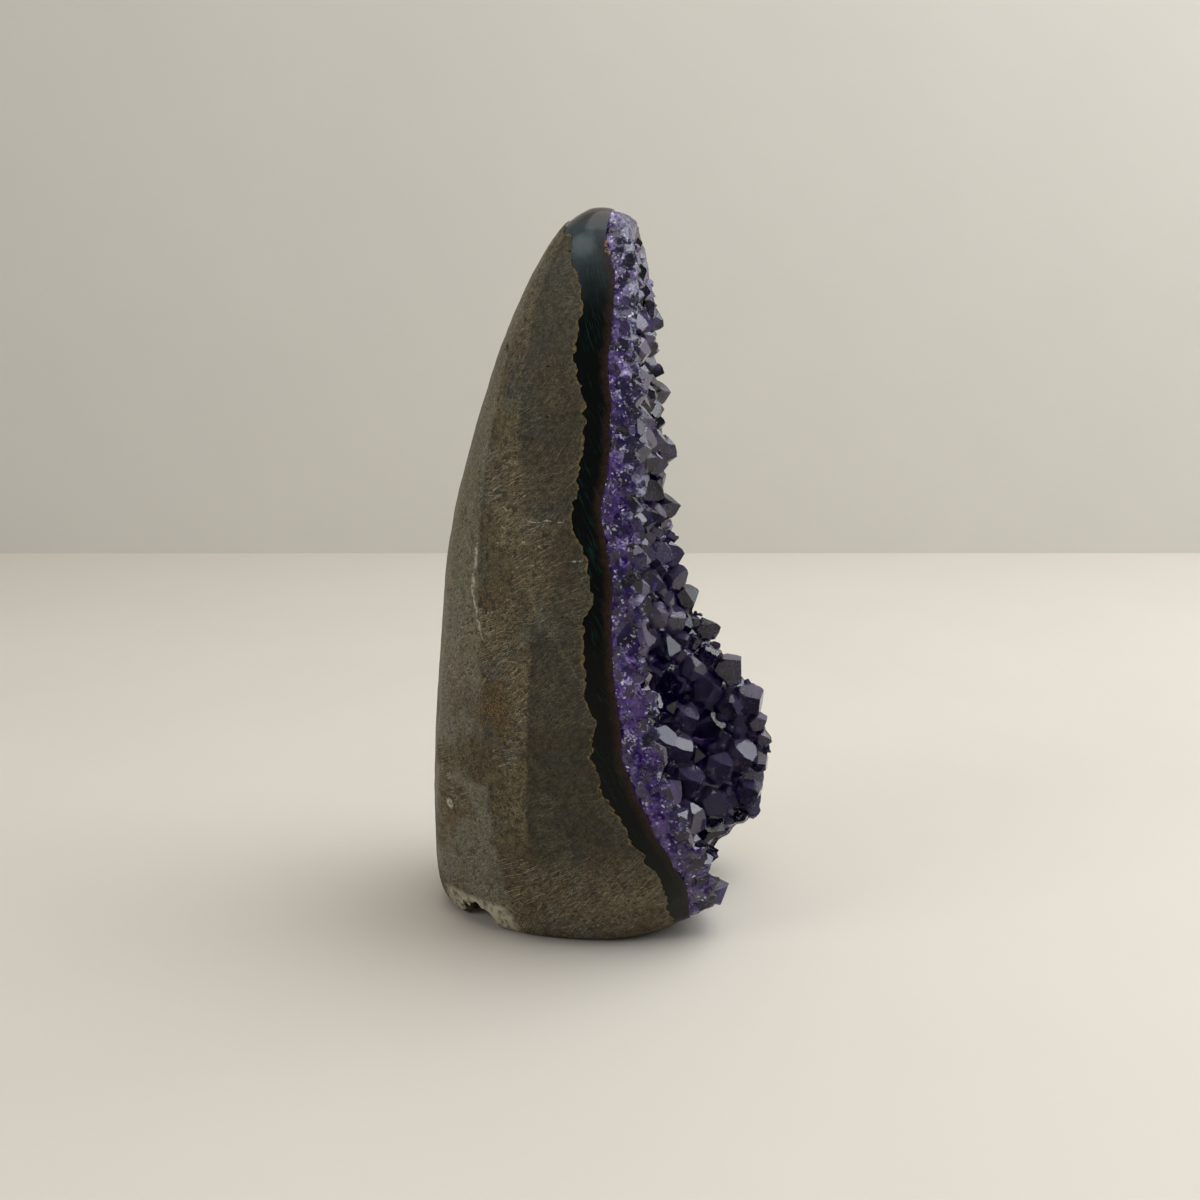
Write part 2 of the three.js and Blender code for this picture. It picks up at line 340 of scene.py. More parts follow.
class Face:
    """Y of a face between two layers, over X and Z."""

    def __init__(self, node, other, facing):
        low, high = (Vector(corner) / MM for corner in CAD_BOX)
        self.x = np.arange(low.x - FIELD_MARGIN, high.x + FIELD_MARGIN, FIELD_STEP)
        self.z = np.arange(low.z - FIELD_MARGIN, high.z + FIELD_MARGIN, FIELD_STEP)
        cap_highlight = self.touching_patch(node, other, facing)
        self.y = np.full((len(self.x), len(self.z)), np.nan)
        start_y = low.y - RAY_ROOM
        for i, x in enumerate(self.x):
            for k, z in enumerate(self.z):
                hit = cap_highlight.ray_cast(Vector((x, start_y, z)), Vector((0, 1, 0)))[0]
                if hit is not None:
                    self.y[i, k] = hit.y
        self.extend()
        self.soften(3)

    @staticmethod
    def touching_patch(node, other, facing):
        """The triangles of a node that lie against the other one."""
        bm = node_mesh_mm(node)
        neighbour = node_mesh_mm(other)
        tree = BVHTree.FromBMesh(neighbour)
        verts = [v.co.copy() for v in bm.verts]
        bm.verts.index_update()
        faces = []
        for face in bm.faces:
            near = tree.find_nearest(face.calc_center_median(), NEIGHBOUR_GAP)[0] is not None
            if near and face.normal.y * facing > 0.3:
                faces.append([v.index for v in face.verts])
        bm.free()
        neighbour.free()
        return BVHTree.FromPolygons(verts, faces)

    def extend(self):
        """Carries the face on in a straight line past its edge, one ring of cells at a time."""
        y = self.y
        while np.isnan(y).any():
            total = np.zeros_like(y)
            count = np.zeros_like(y)
            for axis in (0, 1):
                for step in (1, -1):
                    near = np.roll(y, step, axis)
                    far = np.roll(y, 2 * step, axis)
                    edge = [slice(None)] * 2
                    edge[axis] = slice(0, 2) if step > 0 else slice(-2, None)
                    near[tuple(edge)] = np.nan
                    ahead = np.where(np.isnan(far), near, near + CARRY_ON * (near - far))
                    good = ~np.isnan(ahead)
                    total[good] += ahead[good]
                    count[good] += 1
            fill = np.isnan(y) & (count > 0)
            if not fill.any():
                break
            y[fill] = total[fill] / count[fill]

    def soften(self, rounds):
        weights = (1, 4, 6, 4, 1)
        for _ in range(rounds):
            for axis in (0, 1):
                padded = np.pad(self.y, [(2, 2) if a == axis else (0, 0) for a in (0, 1)], "edge")
                size = self.y.shape[axis]
                shifted = (np.take(padded, range(i, i + size), axis) for i in range(5))
                self.y = sum(w * part for w, part in zip(weights, shifted)) / sum(weights)

    def shift(self, moves):
        heights = np.arange(len(moves)) * EDGE_STEP
        self.y += np.interp(self.z, heights, moves)[None, :]

    def roughen(self):
        """Makes it ragged, in small steps."""
        for i, x in enumerate(self.x):
            for k, z in enumerate(self.z):
                place = Vector((x, 0, z))
                wave = noise.noise(place / 2.6) + 0.6 * noise.noise(place / 1.1 + Vector((9, 9, 9)))
                step = noise.cell(place / 0.9 + Vector((wave, 0, wave))) - 0.5
                self.y[i, k] += 0.8 * wave + 0.4 * step

    def at(self, x, z):
        """Y of the face at x and z, numbers or arrays."""
        i = np.clip((np.asarray(x) - self.x[0]) / FIELD_STEP, 0, len(self.x) - 1.001)
        k = np.clip((np.asarray(z) - self.z[0]) / FIELD_STEP, 0, len(self.z) - 1.001)
        i0, k0 = i.astype(int), k.astype(int)
        f, g = i - i0, k - k0
        low = self.y[i0, k0] * (1 - f) + self.y[i0 + 1, k0] * f
        high = self.y[i0, k0 + 1] * (1 - f) + self.y[i0 + 1, k0 + 1] * f
        return low * (1 - g) + high * g

    def slopes(self, x, z):
        e = FIELD_STEP
        return (
            (self.at(x + e, z) - self.at(x - e, z)) / (2 * e),
            (self.at(x, z + e) - self.at(x, z - e)) / (2 * e),
        )

    def normal(self, x, z):
        """The face's normal, toward the front."""
        dx, dz = self.slopes(x, z)
        return Vector((float(dx), -1, float(dz))).normalized()

    def ahead(self, points):
        """How far points, an array of N by 3, lie in front of the face."""
        dx, dz = self.slopes(points[:, 0], points[:, 2])
        return (self.at(points[:, 0], points[:, 2]) - points[:, 1]) / np.sqrt(1 + dx**2 + dz**2)

    def block(self, name, offset, material, coarse=1):
        """A solid of all the space in front of the face, moved forward by an offset."""
        xs, zs = self.x[::coarse], self.z[::coarse]
        dx, dz = self.slopes(xs[:, None], zs[None, :])
        y = self.y[::coarse, ::coarse] - offset * np.sqrt(1 + dx**2 + dz**2)
        front = CAD_BOX[0].y / MM - FRONT_ROOM
        bm = bmesh.new()
        back, near = (
            [[bm.verts.new((x, ys[i, k], z)) for k, z in enumerate(zs)] for i, x in enumerate(xs)]
            for ys in (y, np.full_like(y, front))
        )
        nx, nz = len(xs) - 1, len(zs) - 1
        for i in range(nx):
            for k in range(nz):
                bm.faces.new((back[i][k], back[i][k + 1], back[i + 1][k + 1], back[i + 1][k]))
                bm.faces.new((near[i][k], near[i + 1][k], near[i + 1][k + 1], near[i][k + 1]))
        for i in range(nx):
            bm.faces.new((back[i][0], back[i + 1][0], near[i + 1][0], near[i][0]))
            bm.faces.new((back[i][nz], near[i][nz], near[i + 1][nz], back[i + 1][nz]))
        for k in range(nz):
            bm.faces.new((back[0][k], near[0][k], near[0][k + 1], back[0][k + 1]))
            bm.faces.new((back[nx][k], back[nx][k + 1], near[nx][k + 1], near[nx][k]))
        bmesh.ops.recalc_face_normals(bm, faces=bm.faces)
        if bm.calc_volume(signed=True) < 0:
            bmesh.ops.reverse_faces(bm, faces=bm.faces)
        return new_object(name, bm, material)


# ---- Crystals ----


class Crystal:
    """A six-sided quartz prism with a six-faced point, as the planes that bound it."""

    def __init__(self, place, axis, room, rng):
        self.place = place
        turn = Quaternion((0, 0, 1), rng.uniform(0, math.pi))
        self.rotation = Vector((0, 0, 1)).rotation_difference(axis) @ turn
        self.grain = rng.random()
        inradius = CRYSTAL_WIDTH * room
        shoulder = room * rng.uniform(*SHOULDER)
        lesser = rng.uniform(*LESSER_OUT)
        self.sides = []
        self.point = []
        for face in range(6):
            bearing = face * math.pi / 3
            out = inradius * rng.uniform(*SIDES_OUT)
            self.sides.append((math.cos(bearing), math.sin(bearing), 0, -out))
            out = inradius * (lesser if face % 2 else rng.uniform(*FACES_OUT))
            self.point.append((
                math.cos(bearing) * math.sin(POINT_SLOPE),
                math.sin(bearing) * math.sin(POINT_SLOPE),
                math.cos(POINT_SLOPE),
                -out * math.sin(POINT_SLOPE) - shoulder * math.cos(POINT_SLOPE),
            ))
        height = inradius * math.tan(POINT_SLOPE)
        if rng.random() < CAPPED:
            lean = [rng.uniform(-CAP_TILT, CAP_TILT) for _ in range(2)]
            cap = Vector((*lean, 1)).normalized()
            self.point.append((*cap, -shoulder - height * rng.uniform(*CAP_HEIGHT)))
        self.bottom = (0, 0, -1, -CRYSTAL_ROOT)
        self.tip = place + axis * (shoulder + height)

    def mesh(self):
        planes = [Vector(plane) for plane in (*self.sides, *self.point, self.bottom)]
        points, _ = geometry.points_in_planes(planes, 1e-4, 1e-6)
        bm = bmesh.new()
        for point in points:
            bm.verts.new(point)
        bmesh.ops.remove_doubles(bm, verts=bm.verts, dist=1e-4)
        hull_of(bm)
        bmesh.ops.dissolve_limit(bm, angle_limit=0.01, verts=bm.verts, edges=bm.edges)
        matrix = Matrix.Translation(self.place) @ self.rotation.to_matrix().to_4x4()
        bmesh.ops.transform(bm, matrix=matrix, verts=bm.verts)
        return bm

    def depths(self, points):
        """How far points lie inside the prism's sides, and how far under its point's faces."""
        local = (points - np.array(self.place)) @ np.array(self.rotation.to_matrix())
        sides, point = np.array(self.sides), np.array(self.point)
        in_sides = -(local @ sides[:, :3].T + sides[:, 3]).max(axis=1)
        in_point = -(local @ point[:, :3].T + point[:, 3]).max(axis=1)
        return in_sides, in_point


def crystal_spots(wall, rng):
    """Where crystals stand on the wall, larger ones first, with the room each has."""
    low, high = (Vector(corner) / MM for corner in CAD_BOX)
    spots = []
    cells = {}
    size = CRYSTAL_SIZES[0][2]
    for tries, least, most in CRYSTAL_SIZES:
        for _ in range(tries):
            x = rng.uniform(low.x - 2, high.x + 2)
            z = rng.uniform(low.z - 1, high.z + 1)
            smaller = 1 - SMALLER_AT_TIP * (z - low.z) / (high.z - low.z)
            room = smaller * rng.uniform(least, most)
            normal = wall.normal(x, z)
            place = Vector((x, float(wall.at(x, z)), z)) + normal * LAYER
            cell = tuple(int(c // size) for c in place)
            round_it = itertools.product(*(range(c - 1, c + 2) for c in cell))
            near = (spots[i] for other in round_it for i in cells.get(other, ()))
            if all((place - p).length > 0.5 * (r + room) for p, r, _ in near):
                cells.setdefault(cell, []).append(len(spots))
                spots.append((place, room, normal))
    return spots


def crystals(wall, tree, rng):
    """The crystals. One whose point would pass the ground outside in front stands lower."""
    made = []
    for place, room, normal in crystal_spots(wall, rng):
        nearest, out, _, _ = tree.find_nearest(place)
        if (place - nearest).dot(out) > room:
            continue
        axis = (normal + Vector([rng.uniform(-TILT, TILT) for _ in range(3)])).normalized()
        one = Crystal(place, axis, room, rng)
        nearest, out, _, _ = tree.find_nearest(one.tip)
        past = (one.tip - nearest).dot(out)
        if past > -TIP_UNDER and out.dot(axis) > 0.6:
            one.place -= axis * (past + TIP_UNDER) / out.dot(axis)
        made.append(one)
    return made


def crust_solid(wall, outside, grown, material):
    """All the crystals and the layer that they stand on, in one solid, cut at the sides."""
    solids = [new_object(f"crystal_{i}", one.mesh(), material) for i, one in enumerate(grown)]
    crust = wall.block("amethyst_crystals", -OVERLAP, material, WALL_COARSE)
    layer_front = wall.block("layer_front", LAYER, material, WALL_COARSE)
    front = wall.block("front", -OVERLAP, material, WALL_COARSE)
    boolean(crust, "DIFFERENCE", layer_front)
    unite(crust, solids)
    boolean(crust, "INTERSECT", front)
    boolean(crust, "INTERSECT", outside)
    remove(layer_front, front)
    return crust


def largest_part(obj):
    """Drops the crumbs that cutting leaves."""
    bm = bmesh.new()
    bm.from_mesh(obj.data)
    seen = set()
    parts = []
    for start in bm.verts:
        if start in seen:
            continue
        seen.add(start)
        part = [start]
        for vert in part:  # it grows on the way
            for edge in vert.link_edges:
                other = edge.other_vert(vert)
                if other not in seen:
                    seen.add(other)
                    part.append(other)
        parts.append(part)
    parts.sort(key=len, reverse=True)
    for part in parts[1:]:
        bmesh.ops.delete(bm, geom=part, context="VERTS")
    bm.to_mesh(obj.data)
    bm.free()


def crystal_fields(points, grown):
    """For each point: how far it lies under its own crystal's point and from the next
    crystal, and that crystal's grain, a random number."""
    nearest = np.full(len(points), -CRYSTAL_REACH)
    second = nearest.copy()
    under = np.zeros(len(points))
    grain = np.zeros(len(points))
    for one in grown:
        near = np.flatnonzero(np.linalg.norm(points - np.array(one.place), axis=1) < CRYSTAL_REACH)
        if not len(near):
            continue
        in_sides, in_point = one.depths(points[near])
        first = in_sides > nearest[near]
        second[near] = np.where(first, nearest[near], np.maximum(second[near], in_sides))
        won = near[first]
        nearest[won] = in_sides[first]
        under[won] = in_point[first]
        grain[won] = one.grain
    return under, np.clip(nearest - second, 0, SEAM), grain


# ---- The pieces ----


class Stone:
    """The upright axis through the tip, and places on the ground surface round it."""

    def __init__(self, outside):
        top = max((v.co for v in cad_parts["agate_rind"].data.vertices), key=lambda co: co.z)
        self.axis = Vector((top.x, top.y, 0)) / MM
        self.tree = BVHTree.FromObject(outside, bpy.context.evaluated_depsgraph_get())

    def skin(self, points):
        """The way round from the back toward -X, and the height, in mm."""
        turn = np.arctan2(self.axis.x - points[:, 0], points[:, 1] - self.axis.y)
        return np.stack([SKIN_RADIUS * turn, points[:, 2], np.zeros(len(points))], axis=1)

    def on_skin(self, turn, height):
        """The point of the ground surface at a turn from the back, in degrees, and a height."""
        turn = math.radians(turn)
        out = Vector((-math.sin(turn), math.cos(turn), 0))
        return self.tree.ray_cast(self.axis + Vector((0, 0, height)), out)[0]


def arc(turn):
    """The way round the skin from a turn in degrees."""
    return SKIN_RADIUS * math.radians(turn)


def skin_at(turn, height):
    """A place on the skin from a turn in degrees and a height in mm."""
    return Vector((arc(turn), height, 0))


def lumpy_ball(name, place, size, lumps, material):
    """A ball with a broken surface, to cut a pit or a chip."""
    bm = bmesh.new()
    bmesh.ops.create_icosphere(bm, subdivisions=4 if max(size) > 2 else 2, radius=1)
    for vert in bm.verts:
        where = place + vert.co * max(size)
        vert.co *= 1 + lumps * noise.fractal(where * 0.9, 1, 2, 4)
        vert.co = place + Vector([c * s for c, s in zip(vert.co, size)])
    return new_object(name, bm, material)


def relief(skin, points):
    """How far the ground surface stands out past its smooth form: the waves that grinding
    left, and a step down on the -X side, low on the stone."""
    out = np.array([
        0.16 * noise.noise(Vector(p) * 0.11) + 0.05 * noise.noise(Vector(p) * 0.5) for p in points
    ])
    turn, height = skin[:, 0] / SKIN_RADIUS, skin[:, 1]
    step = math.radians(STEP_TURN) + 0.002 * (35 - height)
    step = step + 0.012 * np.sin(height * 1.3) + 0.008 * np.sin(height * 3.1)
    lower = smooth_step(-0.012, 0.02, turn - step) * (1 - smooth_step(0.15, 0.9, turn - step))
    reach = smooth_step(*STEP_LOW, height) * (1 - smooth_step(*STEP_HIGH, height))
    return out - STEP_DEPTH * lower * reach


def basalt_piece(outside, rock, stone, rng, material):
    basalt = copy_of(outside, "basalt_stone")
    points = points_of(basalt)
    out = relief(stone.skin(points), points)
    out[points[:, 2] < 0.5] = 0
    move_points(basalt, points + normals_of(basalt) * out[:, None])
    front = rock.block("rock", 0, material)
    boolean(basalt, "DIFFERENCE", front)
    place = stone.axis + (stone.on_skin(CHIP_TURN, 1) - stone.axis) * CHIP_OUT
    chip = lumpy_ball("chip", Vector((place.x, place.y, 0)), CHIP_SIZE, 0.3, material)
    holes = []
    for turn, height, radius in pits(rng):
        place = stone.on_skin(turn, height)
        size = [radius * rng.uniform(0.6, 1.3) for _ in range(3)]
        holes.append(lumpy_ball("pit", place, size, 0.35, material))
    unite(chip, holes)
    boolean(basalt, "DIFFERENCE", chip)
    remove(front, chip)
    largest_part(basalt)
    return basalt


def pits(rng):
    """Turn, height and radius of the small gas holes: a few chosen ones, and small ones
    strewn all round."""
    yield from PITS
    turns, heights = SMALL_PIT_PLACES
    for _ in range(SMALL_PITS):
        yield rng.uniform(*turns), rng.uniform(*heights), rng.uniform(*SMALL_PIT_SIZE)


def notch(material):
    return lumpy_ball("notch", Vector(NOTCH_PLACE), NOTCH_SIZE, 0.12, material)


def agate_piece(outside, rock, wall, material):
    agate = copy_of(outside, "agate_band")
    points = points_of(agate)
    inset = np.where(points[:, 2] > 0.5, AGATE_LOWER, 0)
    move_points(agate, points - normals_of(agate) * inset[:, None])
    before_rock = rock.block("before_rock", 0, material)
    before_wall = wall.block("before_wall", 0, material, WALL_COARSE)
    boolean(agate, "INTERSECT", before_rock)
    boolean(agate, "DIFFERENCE", before_wall)
    gap = notch(material)
    boolean(agate, "DIFFERENCE", gap)
    remove(before_rock, before_wall, gap)
    largest_part(agate)
    return agate


def chipped(points, normals):
    """The ground side of the crystals: it breaks along small flat facets below the surface."""
    moved = points.copy()
    for index, point in enumerate(points):
        where = Vector(point)
        _, centres = noise.voronoi(where / FACET)
        tilt = noise.cell_vector(centres[0] * 31) - Vector((0.5, 0.5, 0.5))
        drop = 0.55 * (where - centres[0] * FACET).dot(tilt) + 0.3 * noise.noise(where / 3)
        moved[index] -= normals[index] * (FACET_DEPTH + max(-0.25, min(drop, 0.5)))
    return moved


def crust_piece(outside, wall, stone, grown, material):
    cutter = copy_of(outside, "cutter")
    cutter.data.materials.clear()
    cut_mark = bpy.data.materials.new("cut_mark")
    cutter.data.materials.append(cut_mark)
    move_points(cutter, chipped(points_of(cutter), normals_of(cutter)))
    crust = crust_solid(wall, cutter, grown, material)
    gap = notch(cut_mark)
    boolean(crust, "DIFFERENCE", gap)
    remove(cutter, gap)
    largest_part(crust)
    slots = [slot.material for slot in crust.material_slots]
    faces = crust.data.polygons
    cut = np.array([slots[face.material_index] == cut_mark for face in faces], np.float32)
    faces.foreach_set("material_index", np.zeros(len(faces), int))
    while len(crust.data.materials) > 1:
        crust.data.materials.pop()
    crust.data.materials[0] = material
    faces.foreach_set("use_smooth", cut > 0.5)
    keep(crust, "FACE", cut=cut)
    points = points_of(crust)
    under, seam, grain = crystal_fields(points, grown)
    inside = [stone.tree.find_nearest(point)[3] for point in points]
    keep(crust, inside=inside, root=wall.ahead(points), under=under, seam=seam, grain=grain)
    return crust


def finished(obj, node, sharp=None):
    """Scales a piece to metres and gives it its place in the frame."""
    if sharp:
        obj.data.shade_smooth()
        obj.data.set_sharp_from_angle(angle=math.radians(sharp))
    obj.data.transform(Matrix.Scale(MM, 4))
    obj.data.update()
    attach(obj, "root")
    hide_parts(node)


# ---- Materials ----


class Shader:
    """A material in the making. Its methods take and give sockets or plain values, with
    sizes in mm."""

    def __init__(self, name, colour):
        self.colour = colour
        self.material = bpy.data.materials.new(name)
        self.material.use_nodes = True
        self.tree = self.material.node_tree
        self.surface = self.tree.nodes["Principled BSDF"]
        self.output = self.tree.nodes["Material Output"]
        metres = self.node("ShaderNodeTexCoord").outputs["Object"]
        self.place = self.vector("SCALE", metres, scale=1 / MM)

    def put(self, socket, value):
        if isinstance(value, bpy.types.NodeSocket):
            self.tree.links.new(value, socket)
        elif socket.type == "RGBA":
            socket.default_value = (*value, 1)
        else:
            socket.default_value = value

    def node(self, kind, inputs=(), **settings):
        node = self.tree.nodes.new(kind)
        for key, value in settings.items():
            setattr(node, key, value)
        for key, value in dict(inputs).items():
            self.put(node.inputs[key], value)
        return node

    def finish(self, **inputs):
        """Sets the colour and other inputs, named in lower case with _ for spaces."""
        sockets = {socket.name.lower().replace(" ", "_"): socket for socket in self.surface.inputs}
        for key, value in {"base_color": self.colour, **inputs}.items():
            self.put(sockets[key], value)
        return self.material

    def math(self, operation, result, *values):
        for value in values:
            inputs = {0: result, 1: value}
            result = self.node("ShaderNodeMath", inputs, operation=operation).outputs[0]
        return result

    def plus(self, *values):
        return self.math("ADD", *values)

    def times(self, *values):
        return self.math("MULTIPLY", *values)

    def most(self, *values):
        return self.math("MAXIMUM", *values)

    def vector(self, operation, *values, scale=None):
        inputs = dict(enumerate(values))
        if scale is not None:
            inputs["Scale"] = scale
        node = self.node("ShaderNodeVectorMath", inputs, operation=operation)
        number = operation in ("DISTANCE", "DOT_PRODUCT")
        return node.outputs["Value" if number else "Vector"]

    def attribute(self, name, output="Fac"):
        return self.node("ShaderNodeAttribute", attribute_name=name).outputs[output]

    def parts(self, vector):
        return self.node("ShaderNodeSeparateXYZ", {0: vector}).outputs

    def noise(self, size, vector=None, detail=3, roughness=0.55, output="Fac"):
        inputs = {
            "Vector": vector or self.place, "Scale": 1 / size,
            "Detail": detail, "Roughness": roughness,
        }
        return self.node("ShaderNodeTexNoise", inputs).outputs[output]

    def cells(self, size, vector=None, feature="F1", output="Distance"):
        inputs = {"Vector": vector or self.place, "Scale": 1 / size}
        return self.node("ShaderNodeTexVoronoi", inputs, feature=feature).outputs[output]

    def step(self, low, high, value):
        """0 at low and 1 at high, smooth between them. Low may be the greater."""
        inputs = {"Value": value, "From Min": low, "From Max": high}
        return self.node("ShaderNodeMapRange", inputs, interpolation_type="SMOOTHSTEP").outputs[0]

    def mix(self, share, one, other):
        """One colour or number, with a share of the other."""
        colours = isinstance(one, tuple) or getattr(one, "type", "VALUE") in ("RGBA", "VECTOR")
        first, result = (6, 2) if colours else (2, 0)
        inputs = {0: share, first: one, first + 1: other}
        kind = "RGBA" if colours else "FLOAT"
        return self.node("ShaderNodeMix", inputs, data_type=kind).outputs[result]

    def shifted(self, size, far, vector=None, detail=2):
        """A place moved about by noise."""
        vector = vector or self.place
        wander = self.noise(size, vector, detail, output="Color")
        return self.vector("ADD", vector, self.tilts(wander, 2 * far))

    def streaks(self, skin, slope, length, width, low=0.52, high=0.68, detail=2):
        """Straight streaks on the skin, at a slope in degrees."""
        inputs = {"Vector": skin, "Angle": -math.radians(slope)}
        turned = self.node("ShaderNodeVectorRotate", inputs, rotation_type="Z_AXIS").outputs[0]
        stretched = self.vector("MULTIPLY", turned, (1 / length, 1 / width, 0))
        return self.step(low, high, self.noise(1, stretched, detail, 0.6))

    def paint(self, colour, *shares):
        """Lays a colour over what is there, by the product of the shares."""
        self.colour = self.mix(self.times(*shares), self.colour, colour)

    def brighten(self, amount, value):
        """Makes the colour lighter or darker where a value is over or under a half."""
        off = self.times(self.math("SUBTRACT", value, 0.5), 2 * amount)
        self.colour = self.vector("SCALE", self.colour, scale=self.plus(off, 1))

    def beyond(self, vector, start, end, soft):
        """1 to the right of a line up the skin, given as turns and heights, 0 to its left."""
        start, end = skin_at(*start), skin_at(*end)
        along = (end - start).normalized()
        off = self.vector("SUBTRACT", vector, start)
        return self.step(-soft, soft, self.vector("DOT_PRODUCT", off, (along.y, -along.x, 0)))

    def spot(self, vector, centre, radius, soft):
        away = self.vector("DISTANCE", vector, centre)
        return self.step(radius + soft, radius - soft, away)

    def line(self, vector, start, end, width):
        """A line on the skin, given as turns and heights: 1 on it, 0 at its width from it."""
        start, end = skin_at(*start), skin_at(*end)
        along = end - start
        off = self.vector("SUBTRACT", vector, start)
        share = self.vector("DOT_PRODUCT", off, along / along.length_squared)
        share = self.node("ShaderNodeClamp", {0: share}).outputs[0]
        foot = self.vector("SCALE", tuple(along), scale=share)
        return self.step(width, 0.3 * width, self.vector("DISTANCE", off, foot))

    def tilts(self, colour, amount):
        """A random lean, from a random colour."""
        return self.vector("SCALE", self.vector("SUBTRACT", colour, (0.5, 0.5, 0.5)), scale=amount)

    def bump(self, height, depth):
        inputs = {"Height": height, "Distance": depth * MM, "Strength": 1}
        return self.node("ShaderNodeBump", inputs).outputs[0]


def basalt_material():
    """Olive-brown basalt, ground by hand: scratches in patches, pits, veins, and an olive-yellow
    margin along the agate that is partly a painted highlight. Painted shade darkens the faces that
    turn from the light and the tiny gas holes, and painted highlights fleck the broken chip."""
    m = Shader("basalt", BASALT)
    skin = m.attribute("skin", "Vector")
    depth = m.attribute("depth")
    turn, height, _ = m.parts(skin)

    broad = m.noise(9, detail=2)
    mottled = m.noise(1.3, detail=5, roughness=0.7)
    fine = m.noise(0.24, detail=3, roughness=0.75)
    m.paint(BASALT_BROWN, m.step(0.4, 0.6, broad))
    m.brighten(0.5, m.noise(11, m.vector("ADD", m.place, (0, 0, 70)), detail=4))
    bluish = m.noise(6, m.vector("ADD", m.place, (40, 0, 0)), detail=2)
    m.paint(BASALT_BLUE, m.step(0.5, 0.64, bluish), 0.7)
    m.paint(BASALT_DARK, m.step(0.48, 0.64, mottled), 0.75)

    # Greyer and smoother on the strip at the back, and toward the tip.
    wavy = m.shifted(5, 0.8, m.shifted(0.7, 0.15, skin))
    strip = m.math("SUBTRACT", 1, m.beyond(wavy, *STRIP, 0.5))
    strip = m.times(strip, m.mix(m.step(30, 46, height), m.step(0.4, 0.6, bluish), 1.0))
    grey = m.most(strip, m.times(m.step(84, 100, height), 0.4))
    m.paint(BASALT_GREY, grey, 0.6)

    # Painted shade: the ground faces past the step low on the -X side, past the ridge, and under
    # the tip are darkened, standing in for how they turn away from the light.
    edge = m.plus(turn, m.times(m.noise(4, detail=4), 1.2))
    step_edge = m.step(arc(STEP_TURN), arc(STEP_TURN) + 0.5, edge)
    lower = m.times(step_edge, m.step(55, 49, height), m.step(8, 20, height))
    past_ridge = m.times(m.beyond(wavy, *RIDGE, 0.4), m.step(arc(70), arc(84), turn))
    past_ridge = m.times(past_ridge, m.step(70, 66, height))
    upper = m.times(m.beyond(wavy, *UPPER_FACE, 0.7), m.beyond(wavy, *TIP_FACE, 0.7))
    upper = m.times(upper, m.step(67, 70, height))
    darker = m.most(lower, m.times(past_ridge, 0.8), m.times(upper, 0.8))
    # painted shade on the faces that turn from the light
    m.paint(BASALT_DARK, darker, 0.68)
    ridge = m.line(wavy, *RIDGE, 0.5)

    # Scratches, in patches.
    bent = m.shifted(14, 1.5, skin)
    patches = m.cells(9, m.shifted(5, 2, skin), output="Color")
    patch_a, patch_b, patch_c = m.parts(patches)
    middle = m.times(m.streaks(bent, 30, 4.5, 0.14, 0.55, 0.62), m.step(0.3, 0.5, patch_a))
    steep = m.times(m.streaks(bent, 55, 5, 0.15, 0.55, 0.62), m.step(0.5, 0.6, patch_b))
    flat = m.times(m.streaks(bent, 5, 4, 0.15, 0.55, 0.62), m.step(0.6, 0.5, patch_c))
    scratched = m.most(middle, m.times(steep, 0.8), m.times(flat, 0.6))
    scratched = m.times(scratched, m.mix(darker, 1.0, 0.25), m.mix(grey, 1.0, 0.5))
    scratched = m.most(scratched, m.times(ridge, fine, 0.4))
    m.paint(BASALT_SCRATCH, scratched, 0.65)
    m.brighten(0.3, m.streaks(bent, 35, 1.6, 0.14, 0.35, 0.65, 4))
    m.brighten(0.55, m.step(0.3, 0.7, fine))
    grain, tone, _ = m.parts(m.cells(0.45, output="Color"))
    m.brighten(0.25, grain)
    m.paint(BASALT_DARK, m.step(0.9, 0.93, tone), 0.6)

    # Rust: one broad spot and small ones. Then the olive-yellow margin along the agate, partly a
    # painted highlight on the basalt's raised edge.
    rusty_place = m.shifted(1.6, 1.4, skin)
    rust = m.times(m.spot(rusty_place, skin_at(*RUST_PATCH), 3, 1.6), m.step(0.38, 0.5, mottled))
    for turn_at, height_at, radius in RUST_SPOTS:
        rust = m.most(rust, m.spot(rusty_place, skin_at(turn_at, height_at), radius, 0.4))
    m.paint(BASALT_DARK, rust, m.step(0.52, 0.4, fine), 0.7)
    m.paint(RUST, rust, m.step(0.5, 0.6, fine))
    ragged = m.plus(depth, m.times(m.noise(0.7, detail=5), 1.1))
    ragged = m.plus(ragged, m.times(m.step(0.4, 0.65, m.noise(3)), 0.4))
    margin = m.step(1.15, 0.7, ragged)
    # the margin colour is partly painted highlight, the light caught on the basalt's edge above the
    # lower agate
    m.paint(MARGIN_AND_HIGHLIGHT, margin, m.step(0.4, 0.6, m.noise(0.4)))

    # Veins, specks and the pale broken chip, with painted highlights flecked over the chip.
    wobbly = m.shifted(2.2, 0.7, m.shifted(0.5, 0.12, skin))
    vein = 0.0
    for start, end, width in VEINS:
        vein = m.most(vein, m.line(wobbly, start, end, width))
    vein = m.times(vein, m.step(0.35, 0.55, m.noise(0.7)))
    chip = m.spot(m.shifted(1.5, 0.9, skin), skin_at(CHIP_TURN + 5, 1.8), 6, 0.8)
    chip = m.times(chip, m.step(6, 4.8, height))
    m.paint(BROKEN, chip, m.step(0.35, 0.55, mottled))
    white = m.spot(m.shifted(0.8, 0.3, skin), skin_at(*INCLUSION), 0.75, 0.25)
    dots = m.cells(1.5)
    speck = m.times(m.step(0.1, 0.06, dots), m.step(0.8, 0.85, m.noise(4)))
